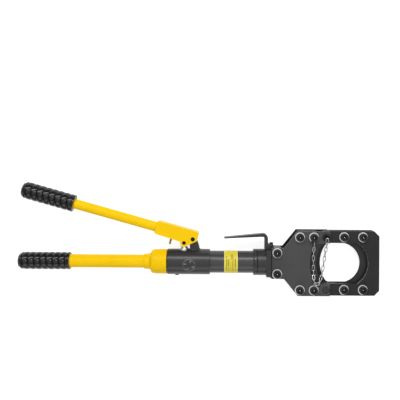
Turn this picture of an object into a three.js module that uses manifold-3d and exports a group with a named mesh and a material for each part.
// Hand-pumped hydraulic rescue cutter, lying on its side.
//
// Millimetres, +Z up.  The tool axis runs along X at AXIS_HEIGHT above the
// surface the tool lies on: the handles are at -X and the cutting head at +X.
// The origin is the centre of the head block flange's lower flat face.
// Inside this file z is measured from the tool axis; one group lifts it all.

import * as THREE from 'three';
import { mergeVertices } from 'three/addons/utils/BufferGeometryUtils.js';
import Module from 'manifold-3d';

const wasm = await Module();
wasm.setup();

// ---------------------------------------------------------------- dimensions
const AXIS_HEIGHT = 29;          // tool axis above the rest face
const GAP = 0.3;                 // clearance between touching pieces

// pump body and cylinder
const BODY_R = 28, BODY_X0 = -224, BODY_X1 = -128.6;
const SPIGOT_R = 22, SPIGOT_X = -240;
const CYL_R = 24.25, CYL_BORE = 19.1, CYL_X0 = -140.7, CYL_X1 = -6.3;
const SOCKET_BORE = 24.6;        // bores that take the cylinder's ends
const PLUNGER_X = -186.2, PLUNGER_R = 8;
const PASSAGE_Y = -6, RELEASE_Y = -15, RELIEF_X = -202;

// head block
const COLLAR_R = 28.9, COLLAR_X0 = -24.3, FLANGE_X = 5, FLANGE_H = 29;
const LOCK_X0 = -32.5, LOCK_X1 = -24.6;
const TONGUE_X1 = 30, TONGUE_Y = 33.5, TONGUE_Z = 12.7;

// cheeks: two 6.5 mm plates
const CHEEK_Z0 = 13, CHEEK_Z1 = 19.5, CHEEK_X0 = 6.8, CHEEK_X1 = 136;
const HEAD_Y = 71.2;               // half width of the head
const CHEEK_NECK_Y = 34, NECK_X = 34.3, SHOULDER_X = 64.4;
const MOUTH_Y = 45;              // half height of the mouth between the arms
const PIN_X = 126.8, PIN_Y = 58; // hinge pin (-Y) and latch pin (+Y)
const PIN_R = 6, HOLE_R = 6.3;
const BOLT_NECK = [19.3, 23], BOLT_C = [69, 58], BOLT_D = [99.8, 58];

// nose
const NOSE_X1 = 246, NOSE_CHAMFER = 11, ARM_R = 12;
const NOSE_ARC_X = 167.3, NOSE_ARC_R = 54;
const BOLT_E = [167.5, 58], BOLT_F = [209.2, 58];
const BLADE_FACE = 0.2;          // half of the shear gap at the cutting plane
const BLADE_T = 8;               // blade thickness
const FIXED_X0 = 150.3, FIXED_CX = 160.5, FIXED_R = 44, FIXED_BACK_R = 50;

// moving blade, piston and rod
const MOVE_CX = 184.5, MOVE_R = 68, MOVE_BACK_R = 78, MOVE_Y = 44.7, MOVE_X0 = 55;
const PISTON_R = 18.6, PISTON_X0 = -135, PISTON_X1 = -113, ROD_R = 10, ROD_X1 = 52;

// fasteners: M12 low head socket screws with plain washers
const WASHER_R = 11.3, WASHER_T = 2, CAP_R = 8.6, CAP_H = 7, HEX_AF = 8, HEX_DEPTH = 4.5;

// main handle
const TUBE_R = 14.5, TUBE_BORE = 12, TUBE_X0 = -545, TUBE_X1 = -243;
const GRIP_R = 19, GRIP_VALLEY_R = 17.7, GRIP_PITCH = 13.8;

// pump lever: local frame at the fulcrum pin, local +X towards the head
const FULCRUM = [-167, 51.1], LEVER_ANGLE = -15.4;
const EAR_Z0 = 9.5, EAR_Z1 = 14, LOBE = [-16.4, -12.9], LOBE_R = 8.5;
const LEVER_TUBE_R = 11, LEVER_TUBE_Y = 3;

// ---------------------------------------------------------------- materials
const paint = (color, roughness, metalness) =>
  new THREE.MeshStandardMaterial({ color, roughness, metalness, flatShading: true });
const YELLOW = paint(0xf3c50c, 0.35, 0.0);
const BLACK = paint(0x3b3b3c, 0.5, 0.15);
const DARK = paint(0x2a2a2b, 0.5, 0.2);
const RUBBER = paint(0x1b1b1c, 0.45, 0.0);
const SOFT = paint(0x222222, 0.7, 0.0);
const STEEL = paint(0xbfc1c2, 0.3, 1.0);
const BLADE_STEEL = paint(0x303132, 0.4, 0.6);
const CAP_STEEL = paint(0x3a3b3d, 0.35, 0.8);
const BRONZE = paint(0xa8803c, 0.35, 1.0);
const LABEL = paint(0xe8dc50, 0.4, 0.0);

// ---------------------------------------------------------------- helpers
const rad = (d) => (d * Math.PI) / 180;

// closed three.js geometry -> solid
function solid(geometry) {
  const g = geometry.index ? geometry.toNonIndexed() : geometry.clone();
  for (const name of Object.keys(g.attributes)) if (name !== 'position') g.deleteAttribute(name);
  const m = mergeVertices(g, 1e-3);
  const p = m.getAttribute('position');
  const src = m.index.array;
  const tri = [];
  for (let i = 0; i < src.length; i += 3) {
    const a = src[i], b = src[i + 1], c = src[i + 2];
    if (a !== b && b !== c && c !== a) tri.push(a, b, c);
  }
  let volume = 0;
  for (let i = 0; i < tri.length; i += 3) {
    const v = [0, 1, 2].map((k) => new THREE.Vector3().fromBufferAttribute(p, tri[i + k]));
    volume += v[0].dot(v[1].clone().cross(v[2])) / 6;
  }
  if (volume < 0) for (let i = 0; i < tri.length; i += 3) [tri[i], tri[i + 1]] = [tri[i + 1], tri[i]];
  return new wasm.Manifold(new wasm.Mesh({
    numProp: 3,
    vertProperties: new Float32Array(p.array),
    triVerts: new Uint32Array(tri),
  }));
}

function geometryOf(manifold) {
  const m = manifold.getMesh();
  const n = m.numProp;
  const count = m.vertProperties.length / n;
  const pos = new Float32Array(count * 3);
  for (let i = 0; i < count; i++) for (let k = 0; k < 3; k++) pos[i * 3 + k] = m.vertProperties[i * n + k];
  const g = new THREE.BufferGeometry();
  g.setAttribute('position', new THREE.BufferAttribute(pos, 3));
  g.setIndex(new THREE.BufferAttribute(new Uint32Array(m.triVerts), 1));
  g.computeVertexNormals();
  return g;
}

const join = (first, ...rest) => rest.reduce((a, b) => a.add(b), first);
const cut = (first, ...rest) => rest.reduce((a, b) => a.subtract(b), first);

const circle = (cx, cy, r, n) =>
  Array.from({ length: n }, (_, i) => {
    const a = ((i + 0.5) / n) * Math.PI * 2;
    return [cx + r * Math.cos(a), cy + r * Math.sin(a)];
  });

const arc = (cx, cy, r, a0, a1, n) =>
  Array.from({ length: n + 1 }, (_, i) => {
    const a = rad(a0 + ((a1 - a0) * i) / n);
    return [cx + r * Math.cos(a), cy + r * Math.sin(a)];
  });

// outline in XY, extruded from z0 to z1, with holes as outlines
function prism(points, z0, z1, holes = []) {
  const shape = new THREE.Shape(points.map(([x, y]) => new THREE.Vector2(x, y)));
  for (const h of holes) shape.holes.push(new THREE.Path(h.map(([x, y]) => new THREE.Vector2(x, y))));
  const g = new THREE.ExtrudeGeometry(shape, { depth: z1 - z0, bevelEnabled: false, steps: 1 });
  g.translate(0, 0, z0);
  return solid(g);
}

// outline in YZ, extruded along X
function prismX(points, x0, x1) {
  const shape = new THREE.Shape(points.map(([y, z]) => new THREE.Vector2(y, z)));
  const g = new THREE.ExtrudeGeometry(shape, { depth: x1 - x0, bevelEnabled: false, steps: 1 });
  // local (x, y, z) -> world (z, x, y)
  g.applyMatrix4(new THREE.Matrix4().set(0, 0, 1, x0, 1, 0, 0, 0, 0, 1, 0, 0, 0, 0, 0, 1));
  return solid(g);
}

const box = (x0, x1, y0, y1, z0, z1) => {
  const g = new THREE.BoxGeometry(x1 - x0, y1 - y0, z1 - z0);
  g.translate((x0 + x1) / 2, (y0 + y1) / 2, (z0 + z1) / 2);
  return solid(g);
};

function cylinder(r, length, n, rTop = r) {
  // axis +Z, from 0 to length, facets centred on the +X axis
  const g = new THREE.CylinderGeometry(rTop, r, length, n);
  g.rotateX(Math.PI / 2);
  g.rotateZ(Math.PI / n);
  g.translate(0, 0, length / 2);
  return g;
}
const cylZ = (x, y, r, z0, z1, n = 16, rTop = r) => {
  const g = cylinder(r, z1 - z0, n, rTop);
  g.translate(x, y, z0);
  return solid(g);
};
const cylX = (x0, x1, r, n = 16, y = 0, z = 0) => {
  const g = cylinder(r, x1 - x0, n);
  g.rotateY(Math.PI / 2);
  g.translate(x0, y, z);
  return solid(g);
};
const cylY = (x, y0, y1, r, n = 16, z = 0) => {
  const g = cylinder(r, y1 - y0, n);
  g.rotateX(-Math.PI / 2);
  g.translate(x, y0, z);
  return solid(g);
};
const ball = (x, y, z, r) => {
  const g = new THREE.SphereGeometry(r, 8, 6);
  g.translate(x, y, z);
  return solid(g);
};

// solid of revolution about X: profile points are [x, radius]
function turned(profile, n = 32) {
  const g = new THREE.LatheGeometry(profile.map(([x, r]) => new THREE.Vector2(r, x)), n);
  g.rotateZ(-Math.PI / 2);
  g.rotateX(Math.PI / n);
  return solid(g);
}
const ring = (x0, x1, r0, r1, n = 32) => turned([[x0, r0], [x1, r0], [x1, r1], [x0, r1], [x0, r0]], n);

class Helix extends THREE.Curve {
  constructor(x0, x1, r, turns, y = 0, z = 0) { super(); Object.assign(this, { x0, x1, r, turns, y, z }); }
  getPoint(t, target = new THREE.Vector3()) {
    const a = t * this.turns * Math.PI * 2;
    return target.set(this.x0 + (this.x1 - this.x0) * t, this.y + this.r * Math.cos(a), this.z + this.r * Math.sin(a));
  }
}

// round wire of radius r along a curve
function wire(curve, r, sides, steps) {
  const shape = new THREE.Shape(circle(0, 0, r, sides).map(([x, y]) => new THREE.Vector2(x, y)));
  return solid(new THREE.ExtrudeGeometry(shape, { steps, bevelEnabled: false, extrudePath: curve }));
}

const root = new THREE.Group();
const tool = new THREE.Group();
tool.position.z = AXIS_HEIGHT;
root.add(tool);

function add(name, manifold, material, parent = tool) {
  const mesh = new THREE.Mesh(geometryOf(manifold), material);
  mesh.name = name;
  parent.add(mesh);
  return mesh;
}

// ---------------------------------------------------------------- pump body
// Turned block with a rear spigot for the twisting handle, a socket for the
// cylinder, a cross bore for the pump plunger and the valve passages.
{
  let b = turned([
    [SPIGOT_X, 0], [SPIGOT_X, SPIGOT_R], [BODY_X0, SPIGOT_R], [BODY_X0, BODY_R],
    [BODY_X1 - 0.8, BODY_R], [BODY_X1, BODY_R - 0.8], [BODY_X1, SOCKET_BORE], [-141, SOCKET_BORE], [-141, 0],
  ], 28);
  b = cut(b,
    cylY(PLUNGER_X, -10, 40, PLUNGER_R + GAP, 16),          // plunger bore
    cylY(PLUNGER_X, 18, 40, 12.4, 16),                      // gland counterbore
    cylX(SPIGOT_X - 1, PLUNGER_X, 2.5, 8, PASSAGE_Y),      // suction passage
    cylX(-216, -205, 4.2, 10, PASSAGE_Y),                   // suction ball pocket
    cylX(PLUNGER_X, -140, 2.5, 8, PASSAGE_Y),              // delivery passage
    cylX(-166, -140, 4.2, 10, PASSAGE_Y),                   // delivery ball pocket
    cylX(SPIGOT_X - 1, RELIEF_X, 2.9, 8, RELEASE_Y),       // release pin bore
    cylY(RELIEF_X, -18, RELEASE_Y + 3, 3.5, 8),            // relief ball seat
    cylY(RELIEF_X, -40, -18, 4.8, 10),                      // relief plug bore
  );
  add('pump_body', b, BLACK);
}
add('plunger_gland', cut(
  join(cylY(PLUNGER_X, 18.3, 27, 12, 16), cylY(PLUNGER_X, 26.5, 29.5, 10.5, 6)),
  cylY(PLUNGER_X, 10, 40, PLUNGER_R + GAP, 16)), STEEL);
add('suction_ball', ball(-210, PASSAGE_Y, 0, 3.6), STEEL);
add('delivery_ball', ball(-161.5, PASSAGE_Y, 0, 3.6), STEEL);
add('delivery_spring', wire(new Helix(-157, -143, 2.9, 4, PASSAGE_Y, 0), 0.5, 4, 26), STEEL);
add('relief_ball', ball(RELIEF_X, -15.2, 0, 2.9), STEEL);
add('relief_plug', cut(cylY(RELIEF_X, -29.8, -18.3, 4.4, 10), cylY(RELIEF_X, -31, -26.5, 2.3, 6)), CAP_STEEL);

// lug that carries the lever's fulcrum pin, seated on the body's side
add('fulcrum_lug', cut(
  prism([
    [-173.6, 18], [-152, 18], [-152.4, 33], [-156, 44], ...arc(FULCRUM[0], FULCRUM[1], 8, 10, 190, 8),
    [-173.9, 44], [-173.6, 30],
  ], -8, 8),
  cylX(-260, -100, BODY_R + GAP, 28),
  cylZ(FULCRUM[0], FULCRUM[1], 4.9, -20, 20, 16)), BLACK);

// ---------------------------------------------------------------- cylinder
add('cylinder_tube', ring(CYL_X0, CYL_X1, CYL_BORE, CYL_R, 28), BLACK);
{
  const inner = arc(0, 0, CYL_R + GAP, 90 - 118, 90 + 118, 18);
  const outer = arc(0, 0, CYL_R + 0.7, 90 + 118, 90 - 118, 18);
  add('rating_label', prismX([...inner, ...outer], -97.4, -67.2), LABEL);
}
add('lock_ring', cut(
  ring(LOCK_X0, LOCK_X1, SOCKET_BORE, COLLAR_R, 28),
  (() => { const g = cylinder(2.3, 20, 8); g.translate(0, 0, 18); g.rotateX(rad(-24)); g.translate(-28.6, 0, 0); return solid(g); })()), BLACK);
add('lock_ring_screw', (() => { const g = cylinder(2, 3.2, 8); g.translate(0, 0, 25); g.rotateX(rad(-24)); g.translate(-28.6, 0, 0); return solid(g); })(), STEEL);

// ---------------------------------------------------------------- head block
add('head_block', cut(
  join(
    turned([[COLLAR_X0, SOCKET_BORE], [COLLAR_X0, COLLAR_R], [-4, COLLAR_R], [-4, 13], [-5.7, 13], [-5.7, SOCKET_BORE], [COLLAR_X0, SOCKET_BORE]], 28),
    prismX([[-FLANGE_H, -FLANGE_H + 2], [-FLANGE_H + 2, -FLANGE_H], [FLANGE_H - 2, -FLANGE_H], [FLANGE_H, -FLANGE_H + 2],
      [FLANGE_H, FLANGE_H - 2], [FLANGE_H - 2, FLANGE_H], [-FLANGE_H + 2, FLANGE_H], [-FLANGE_H, FLANGE_H - 2]], -5, FLANGE_X),
    box(4.5, TONGUE_X1, -TONGUE_Y, TONGUE_Y, -TONGUE_Z, TONGUE_Z)),
  cylX(-20, 5, 13, 20),
  cylX(-20, 40, ROD_R + 0.6, 20),
  cylZ(BOLT_NECK[0], BOLT_NECK[1], HOLE_R, -20, 20, 12),
  cylZ(BOLT_NECK[0], -BOLT_NECK[1], HOLE_R, -20, 20, 12),
  cylY(8.2, 14, 40, 2.5, 8)), BLACK);
add('rod_bush', ring(-5.2, 4.7, ROD_R + 0.4, 12.6, 20), BRONZE);

// ---------------------------------------------------------------- cheeks
function cheekOutline() {
  const half = Math.asin(45 / 94.5) * 180 / Math.PI;
  const mouth = arc(91.4 + 94.5, 0, 94.5, 180 - half, 180 + half, 10);
  return [
    [CHEEK_X0, -CHEEK_NECK_Y], [NECK_X, -CHEEK_NECK_Y], [SHOULDER_X, -HEAD_Y], [CHEEK_X1 - 1, -HEAD_Y], [CHEEK_X1, -HEAD_Y + 1],
    [CHEEK_X1, -MOUTH_Y], ...mouth.reverse(), [CHEEK_X1, MOUTH_Y], [CHEEK_X1, HEAD_Y - 1], [CHEEK_X1 - 1, HEAD_Y],
    [SHOULDER_X, HEAD_Y], [NECK_X, CHEEK_NECK_Y], [CHEEK_X0, CHEEK_NECK_Y],
  ];
}
const cheekHoles = [BOLT_NECK, BOLT_C, BOLT_D].flatMap(([x, y]) => [[x, y], [x, -y]])
  .concat([[PIN_X, PIN_Y], [PIN_X, -PIN_Y]]).map(([x, y]) => circle(x, y, HOLE_R, 12));
add('cheek_front', cut(prism(cheekOutline(), CHEEK_Z0, CHEEK_Z1, cheekHoles), cylZ(PIN_X, -PIN_Y, 8.8, 16, 25, 16)), BLACK);
add('cheek_back', prism(cheekOutline(), -CHEEK_Z1, -CHEEK_Z0, cheekHoles), BLACK);
for (const [name, s] of [['rail_upper', 1], ['rail_lower', -1]]) {
  const pts = [[47.5, 45.4], [66.6, HEAD_Y - 0.5], [108, HEAD_Y - 0.5], [108, 45.4]].map(([x, y]) => [x, s * y]);
  if (s > 0) pts.reverse();
  add(name, prism(pts, -TONGUE_Z, TONGUE_Z, [circle(BOLT_C[0], s * BOLT_C[1], HOLE_R, 12), circle(BOLT_D[0], s * BOLT_D[1], HOLE_R, 12)]), BLACK);
}

// socket head screw with a captive washer: z = face it sits on, lift = room
// left under the head for the chain tab
function bolt(x, y, z, bottom, lift = 0) {
  const washer0 = z + GAP;
  const head0 = washer0 + WASHER_T + lift;
  return cut(
    join(
      cylZ(x, y, PIN_R, bottom, head0 + 1, 10),
      cylZ(x, y, WASHER_R, washer0, washer0 + WASHER_T, 18),
      cylZ(x, y, CAP_R, head0, head0 + CAP_H, 16)),
    cylZ(x, y, HEX_AF / 2 / Math.cos(Math.PI / 6), head0 + CAP_H - HEX_DEPTH, head0 + CAP_H + 1, 6));
}
[[BOLT_NECK[0], BOLT_NECK[1]], [BOLT_NECK[0], -BOLT_NECK[1]], [BOLT_C[0], BOLT_C[1]], [BOLT_C[0], -BOLT_C[1]],
  [BOLT_D[0], BOLT_D[1]], [BOLT_D[0], -BOLT_D[1]]].forEach(([x, y], i) =>
  add(`cheek_bolt_${i + 1}`, bolt(x, y, CHEEK_Z1, -CHEEK_Z1, i === 4 ? 2 : 0), CAP_STEEL));

// flush hinge pin of the nose
add('hinge_pin', join(cylZ(PIN_X, -PIN_Y, PIN_R, -19.5, 19.3, 16), cylZ(PIN_X, -PIN_Y, 8.5, 16.3, 19.5, 16)), BLACK);

// chain tab clamped under the head of the fifth cheek bolt
{
  const eye = [99.6, 45.4];
  add('chain_tab', prism([
    ...arc(BOLT_D[0], BOLT_D[1], 9, -20, 200, 12), ...arc(eye[0], eye[1], 3.6, 190, 350, 6),
  ], 22.1, 23.5, [circle(BOLT_D[0], BOLT_D[1], HOLE_R, 12), circle(eye[0], eye[1], 1.8, 6)]), STEEL);
}

// ---------------------------------------------------------------- carry hook
{
  const bar = [
    [-7.6, 36], [0, 36], [-0.2, 53.2], ...arc(-11, 53.2, 10.8, 0, 92, 6), [-17.5, 63.4], [-39.2, 61.3], [-61.5, 59.0],
    [-95.5, 55.5], [-98, 54.2], [-97, 52.6], [-61.5, 54.4], [-39.2, 55.6], [-17.5, 56.6], ...arc(-11.8, 52.4, 4.2, 90, 0, 5),
  ];
  const foot = [
    [-7.6, 29.3], [4.2, 29.3], [4.2, 33.9], [12.4, 33.9], [12.4, 39], [10.6, 41], [-7.6, 41],
  ];
  add('carry_hook', cut(join(prism(bar, -9, 9), prism(foot, -10, 10)), cylY(8.2, 25, 60, 2.5, 8)), BLACK);
  add('hook_screw', cut(join(cylY(8.2, 16, 42, 2.1, 8), cylY(8.2, 41.3, 43.8, 3.9, 12)), cylY(8.2, 42.4, 45, 1.7, 6)), CAP_STEEL);
}

// ---------------------------------------------------------------- piston, rod and moving blade
add('piston_rod', cut(
  turned([
    [PISTON_X0, 0], [PISTON_X0, PISTON_R], [-127.2, PISTON_R], [-127.2, 15.4], [-120.8, 15.4],
    [-120.8, PISTON_R], [PISTON_X1, PISTON_R], [PISTON_X1, ROD_R], [ROD_X1, ROD_R], [ROD_X1, 0],
  ], 24),
  cylY(44, -20, 20, 2.8, 8)), STEEL);
add('piston_seal', ring(-126.9, -121.1, 15.8, 18.75, 24), SOFT);
add('return_spring', wire(new Helix(PISTON_X1 + 1.9, -7.6, 14.4, 5), 1.5, 5, 42), STEEL);
add('blade_holder', cut(
  join(box(34, 54.5, -16, 16, -12.4, 12.2), box(54, 80, -22, 22, -12.4, -0.1)),
  cylX(20, 52.4, ROD_R + GAP, 24),
  cylY(44, -30, 30, 2.8, 8),
  cylZ(67, 12, 3.4, -20, 20, 8), cylZ(67, -12, 3.4, -20, 20, 8)), BLACK);
add('rod_pin', cylY(44, -15.5, 15.5, 2.4, 8), STEEL);
{
  const t = (MOVE_BACK_R - MOVE_R) / BLADE_T;
  add('moving_blade', cut(
    prism([[MOVE_X0, -30], [66, -MOVE_Y], [134, -MOVE_Y], [134, MOVE_Y], [66, MOVE_Y], [MOVE_X0, 30]], BLADE_FACE, BLADE_FACE + BLADE_T),
    cylZ(MOVE_CX, 0, MOVE_R - t, BLADE_FACE - 1, BLADE_FACE + BLADE_T + 1, 60, MOVE_BACK_R + t),
    cylZ(67, 12, 3.4, -20, 20, 8), cylZ(67, -12, 3.4, -20, 20, 8),
    cylZ(67, 12, 5.5, 5, 20, 12), cylZ(67, -12, 5.5, 5, 20, 12)), BLADE_STEEL);
}
[12, -12].forEach((y, i) => add(`blade_screw_${i + 1}`, cut(
  join(cylZ(67, y, 3, -12.2, 6, 8), cylZ(67, y, 5.1, 5.3, 8, 12)), cylZ(67, y, 2.3, 6.3, 9, 6)), CAP_STEEL));

// ---------------------------------------------------------------- nose
// The latch eye is a notch open towards the handles, so the nose can leave
// the latch pin when it swings about the hinge pin.
const latchNotch = () => join(
  prism([[PIN_X, PIN_Y - 6.5], [PIN_X, PIN_Y + 6.5], [105, PIN_Y + 7], [105, PIN_Y - 8.6]], -20, 20),
  cylZ(PIN_X, PIN_Y, 6.5, -20, 20, 14));
const noseHoles = (list) => list.flatMap(([x, y]) => [cylZ(x, y, HOLE_R, -20, 20, 12), cylZ(x, -y, HOLE_R, -20, 20, 12)]);
const armEnd = (s) => arc(PIN_X, s * PIN_Y, ARM_R, 90, 270, 8);

function nosePlate(z0, z1) {
  const half = Math.asin(MOUTH_Y / NOSE_ARC_R) * 180 / Math.PI;
  const outline = [
    ...armEnd(-1), [140, -HEAD_Y], [NOSE_X1 - NOSE_CHAMFER, -HEAD_Y], [NOSE_X1, -HEAD_Y + NOSE_CHAMFER],
    [NOSE_X1, HEAD_Y - NOSE_CHAMFER], [NOSE_X1 - NOSE_CHAMFER, HEAD_Y], [140, HEAD_Y], ...armEnd(1), [140, MOUTH_Y],
    ...arc(NOSE_ARC_X, 0, NOSE_ARC_R, half, -half, 14), [140, -MOUTH_Y],
  ];
  return cut(prism(outline, z0, z1), latchNotch(), ...noseHoles([BOLT_E, BOLT_F]), cylZ(PIN_X, -PIN_Y, HOLE_R + 0.1, -20, 20, 14));
}
add('nose_plate_front', nosePlate(8.6, TONGUE_Z), DARK);
add('nose_plate_back', nosePlate(-TONGUE_Z, -8.6), DARK);
{
  const arms = join(
    prism([...arc(PIN_X, PIN_Y, ARM_R, 90, 270, 8), [150, PIN_Y - ARM_R], [150, HEAD_Y], [140, HEAD_Y]], -8.3, 8.3),
    prism([...arc(PIN_X, -PIN_Y, ARM_R, 90, 270, 8), [140, -HEAD_Y], [150, -HEAD_Y], [150, -PIN_Y + ARM_R]], -8.3, 8.3));
  const u = prism([
    [149, -HEAD_Y], [NOSE_X1 - NOSE_CHAMFER, -HEAD_Y], [NOSE_X1, -HEAD_Y + NOSE_CHAMFER], [NOSE_X1, HEAD_Y - NOSE_CHAMFER],
    [NOSE_X1 - NOSE_CHAMFER, HEAD_Y], [149, HEAD_Y], [149, 45.3], [224.6, 45.3], [224.6, -45.3], [149, -45.3],
  ], 0.1, 8.3);
  add('nose_frame', cut(join(arms, u), latchNotch(), ...noseHoles([BOLT_E, BOLT_F]), cylZ(PIN_X, -PIN_Y, HOLE_R + 0.1, -20, 20, 14)), DARK);
}
{
  const s = (FIXED_BACK_R - FIXED_R) / BLADE_T;
  const c = NOSE_CHAMFER;
  add('fixed_blade', cut(
    prism([[FIXED_X0, -HEAD_Y + 0.5], [245.5 - c, -HEAD_Y + 0.5], [245.5, -HEAD_Y + 0.5 + c], [245.5, HEAD_Y - 0.5 - c], [245.5 - c, HEAD_Y - 0.5], [FIXED_X0, HEAD_Y - 0.5]],
      -BLADE_FACE - BLADE_T, -BLADE_FACE),
    cylZ(FIXED_CX, 0, FIXED_BACK_R + s, -BLADE_FACE - BLADE_T - 1, -BLADE_FACE + 1, 44, FIXED_R - s),
    prismX([[-FIXED_BACK_R - s, -BLADE_FACE - BLADE_T - 1], [FIXED_BACK_R + s, -BLADE_FACE - BLADE_T - 1],
      [FIXED_R - s, -BLADE_FACE + 1], [-FIXED_R + s, -BLADE_FACE + 1]], 140, FIXED_CX),
    ...noseHoles([BOLT_E, BOLT_F])), BLADE_STEEL);
}
[[BOLT_E[0], BOLT_E[1]], [BOLT_E[0], -BOLT_E[1]], [BOLT_F[0], BOLT_F[1]], [BOLT_F[0], -BOLT_F[1]]].forEach(([x, y], i) =>
  add(`nose_bolt_${i + 1}`, bolt(x, y, TONGUE_Z, -TONGUE_Z), CAP_STEEL));

// latch pin: pulled out upwards, cross-drilled head for the chain
add('latch_pin', cut(
  join(
    cylZ(PIN_X, PIN_Y, PIN_R, -18, 20.5, 14), cylZ(PIN_X, PIN_Y, 4.6, -19.5, -18, 14, PIN_R),
    cylZ(PIN_X, PIN_Y, 8.5, 19.8, 22.2, 16)),
  cylZ(PIN_X, PIN_Y, 4, 17.5, 24, 12)), BLACK);

// ---------------------------------------------------------------- latch chain
// plain tube along the chain's route, from the tab's eye to the latch pin
const CHAIN_R = 3.2;
const CHAIN_ROUTE = [
  [99.5, 40.8, 23.4], [99.4, 37.6, 23.5], [99.4, 33.5, 22.9], [99.5, 28.0, 19.8], [99.2, 20.0, 16.5], [99.2, 8.0, 15.9],
  [99.2, -6.0, 15.9], [99.3, -18.0, 16.4], [99.6, -27.0, 19.2], [99.6, -33.0, 22.8], [99.8, -37.8, 23.7], [100.9, -41.8, 24.7],
  [103.4, -44.9, 25.4], [107.2, -46.0, 25.2], [111.2, -43.0, 23.4], [113.9, -38.1, 21.0], [116.7, -30.8, 18.4],
  [119.8, -18.2, 16.3], [122.2, -2.0, 15.9], [124.0, 14.0, 16.0], [125.6, 25.0, 16.9], [126.7, 33.0, 18.9],
  [127.4, 38.6, 21.2], [127.8, 43.0, 22.9], [128.0, 48.4, 23.4],
];
add('latch_chain', wire(
  new THREE.CatmullRomCurve3(CHAIN_ROUTE.map(([x, y, z]) => new THREE.Vector3(x, y, z)), false, 'centripetal'), CHAIN_R, 8, 38), STEEL);

// ---------------------------------------------------------------- main handle
add('handle_collar', turned([
  [-274.5, TUBE_R + GAP], [-240.6, TUBE_R + GAP], [-240.6, SPIGOT_R + 0.5], [BODY_X0 - GAP, SPIGOT_R + 0.5], [BODY_X0 - GAP, 27],
  [-248, 27], [-254.5, 25.6], [-259.5, 21.8], [-262.6, 17.4], [-272.8, 16.4], [-274.5, 15.6], [-274.5, TUBE_R + GAP],
], 28), YELLOW);
add('handle_tube', ring(TUBE_X0, TUBE_X1, TUBE_BORE, TUBE_R, 24), YELLOW);
add('tube_end_plug', cylX(-544.5, -536, TUBE_BORE - GAP, 16), SOFT);
add('oil_bladder', turned([
  [-430, 0], [-425, 11.3], [-246, 11.3], [-246, 9.6], [-424, 9.6], [-428, 0],
], 16), SOFT);

// ribbed grip: closed, domed outer end at x0, open end at x1
function grip(x0, x1, bore, boreEnd) {
  const p = [[x0, 0], [x0 + 0.8, 11], [x0 + 4.2, 17], [x0 + 7.5, 18.6]];
  for (let x = x0 + 10; x + GRIP_PITCH < x1 - 4; x += GRIP_PITCH) {
    p.push([x + 4.5, GRIP_R], [x + 11.2, GRIP_VALLEY_R]);
  }
  p.push([x1 - 3.6, GRIP_R], [x1, GRIP_R], [x1, bore], [boreEnd, bore], [boreEnd, 0]);
  return turned(p, 16);
}
add('handle_grip', grip(-554.7, -439.6, TUBE_R + GAP, -545.6), RUBBER);

// release pin pushed by the handle's face cam
add('release_pin', cylX(-240.2, -209.5, 2.5, 8, RELEASE_Y), STEEL);

// ---------------------------------------------------------------- pump lever
const lever = new THREE.Group();
lever.position.set(FULCRUM[0], FULCRUM[1], 0);
lever.rotation.z = rad(LEVER_ANGLE);
tool.add(lever);
{
  const outline = [
    [-86, -10.5], [-26.6, -12.6], ...arc(LOBE[0], LOBE[1], LOBE_R, 175, 320, 8), [10.5, -1], [9.5, 18], [-86, 18],
  ];
  add('handle_socket', cut(
    prism(outline, -EAR_Z1, EAR_Z1),
    box(-30, 30, -40, 13.5, -EAR_Z0, EAR_Z0),
    cylX(-100, -40, LEVER_TUBE_R + GAP, 20, LEVER_TUBE_Y),
    cylZ(0, 0, 4.9, -20, 20), cylZ(LOBE[0], LOBE[1], 4.3, -20, 20),
    cylY(-46.7, -30, -6, 2.3, 8)), YELLOW, lever);
  add('stop_stud', cylY(-46.7, -26, -8.5, 2, 8), STEEL, lever);
  add('pump_tube', cut(cylX(-390, -40.5, LEVER_TUBE_R, 20, LEVER_TUBE_Y), cylX(-391, -40, 8.6, 20, LEVER_TUBE_Y)), YELLOW, lever);
  const g = geometryOf(grip(-396, -275.5, LEVER_TUBE_R + GAP, -390.4));
  g.translate(0, LEVER_TUBE_Y, 0);
  add('pump_grip', solid(g), RUBBER, lever);
  add('fulcrum_pin', cylZ(0, 0, 4.6, -13.8, 13.8), CAP_STEEL, lever);
  add('plunger_pin', cylZ(LOBE[0], LOBE[1], 4, -13.8, 13.8), CAP_STEEL, lever);
}

// ---------------------------------------------------------------- pump plunger
// The pin runs in a slot of the plunger's tang, which takes up the pin's arc.
{
  const tang = [
    [PLUNGER_X - 9, 33.7], [PLUNGER_X + 9, 33.7], [PLUNGER_X + 9, 46], ...arc(PLUNGER_X + 3.5, 46.5, 5.5, 0, 90, 4),
    ...arc(PLUNGER_X - 3.5, 46.5, 5.5, 90, 180, 4), [PLUNGER_X - 9, 46],
  ];
  const slot = prism([
    ...arc(PLUNGER_X + 1.7, 43, 4.85, -90, 90, 6), ...arc(PLUNGER_X - 1.7, 43, 4.85, 90, 270, 6),
  ], -20, 20);
  add('pump_plunger', cut(join(cylY(PLUNGER_X, -2, 35.5, PLUNGER_R, 16), prism(tang, -6, 6)), slot), STEEL);
}

export default root;
